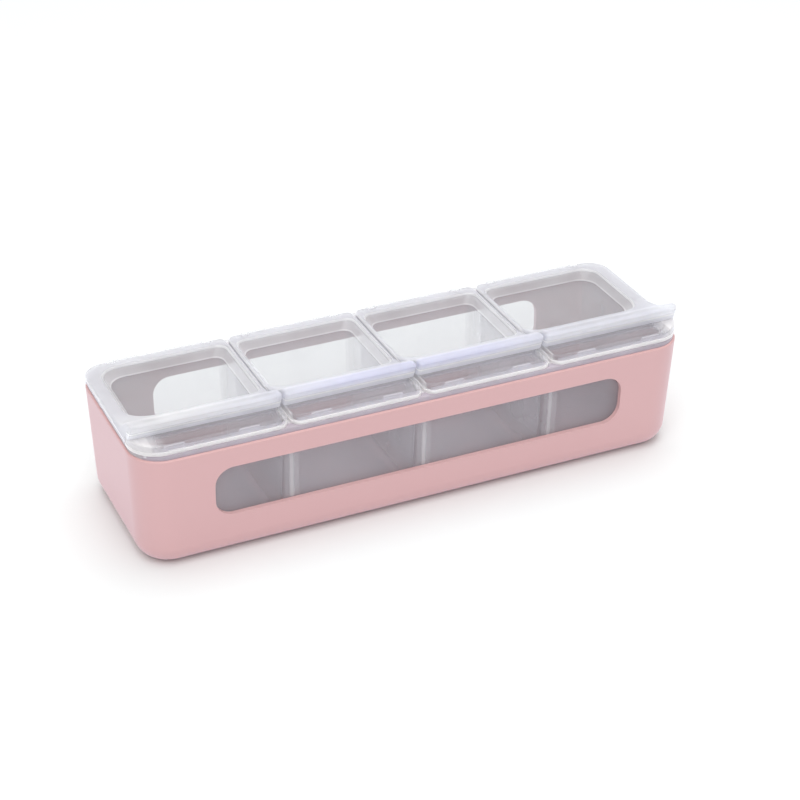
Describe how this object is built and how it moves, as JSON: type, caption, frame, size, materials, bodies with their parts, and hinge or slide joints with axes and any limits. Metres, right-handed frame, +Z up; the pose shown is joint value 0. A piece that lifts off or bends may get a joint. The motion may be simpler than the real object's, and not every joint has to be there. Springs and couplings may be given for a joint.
{
  "type": "condiment caddy",
  "caption": "long condiment caddy: satin case with side windows, clear lift-out tray of wells, each with its own clear flip lid, frosted rim and raised finger lip",
  "frame": {"origin": "middle of the footprint, on the surface that the case stands on", "axes": "+X along the row of wells, -Y towards the lids' lips, +Y towards the hinges, +Z up"},
  "size_m": [0.25, 0.081, 0.0657],
  "materials": {
    "case_satin": "satin moulded plastic, dusty pink",
    "tray_clear": "clear moulded plastic, slightly milky",
    "lid_clear": "clear moulded plastic, slightly milky",
    "lid_frosted": "frosted translucent soft plastic",
    "pin_clear": "natural moulded plastic"
  },
  "bodies": {
    "case": {"outer_case": "case_satin"},
    "tray": {"compartment_tray": "tray_clear", "hinge_pin_1": "pin_clear", "hinge_pin_2": "pin_clear", "hinge_pin_3": "pin_clear", "hinge_pin_4": "pin_clear"},
    "lid_1": {"lid_shell_1": "lid_clear", "lid_rim_1": "lid_frosted"},
    "lid_2": {"lid_shell_2": "lid_clear", "lid_rim_2": "lid_frosted"},
    "lid_3": {"lid_shell_3": "lid_clear", "lid_rim_3": "lid_frosted"},
    "lid_4": {"lid_shell_4": "lid_clear", "lid_rim_4": "lid_frosted"}
  },
  "joints": [
    {"name": "tray_lift", "type": "slide", "parent": "case", "child": "tray", "axis": [0, 0, 1], "range_m": [0, 0.07]},
    {"name": "lid_1_hinge", "type": "hinge", "parent": "tray", "child": "lid_1", "pos_m": [-0.0924, 0.0379, 0.0549], "axis": [-1, 0, 0], "range_deg": [0, 110]},
    {"name": "lid_2_hinge", "type": "hinge", "parent": "tray", "child": "lid_2", "pos_m": [-0.02975, 0.0379, 0.0549], "axis": [-1, 0, 0], "range_deg": [0, 110]},
    {"name": "lid_3_hinge", "type": "hinge", "parent": "tray", "child": "lid_3", "pos_m": [0.02975, 0.0379, 0.0549], "axis": [-1, 0, 0], "range_deg": [0, 110]},
    {"name": "lid_4_hinge", "type": "hinge", "parent": "tray", "child": "lid_4", "pos_m": [0.0924, 0.0379, 0.0549], "axis": [-1, 0, 0], "range_deg": [0, 110]}
  ]
}
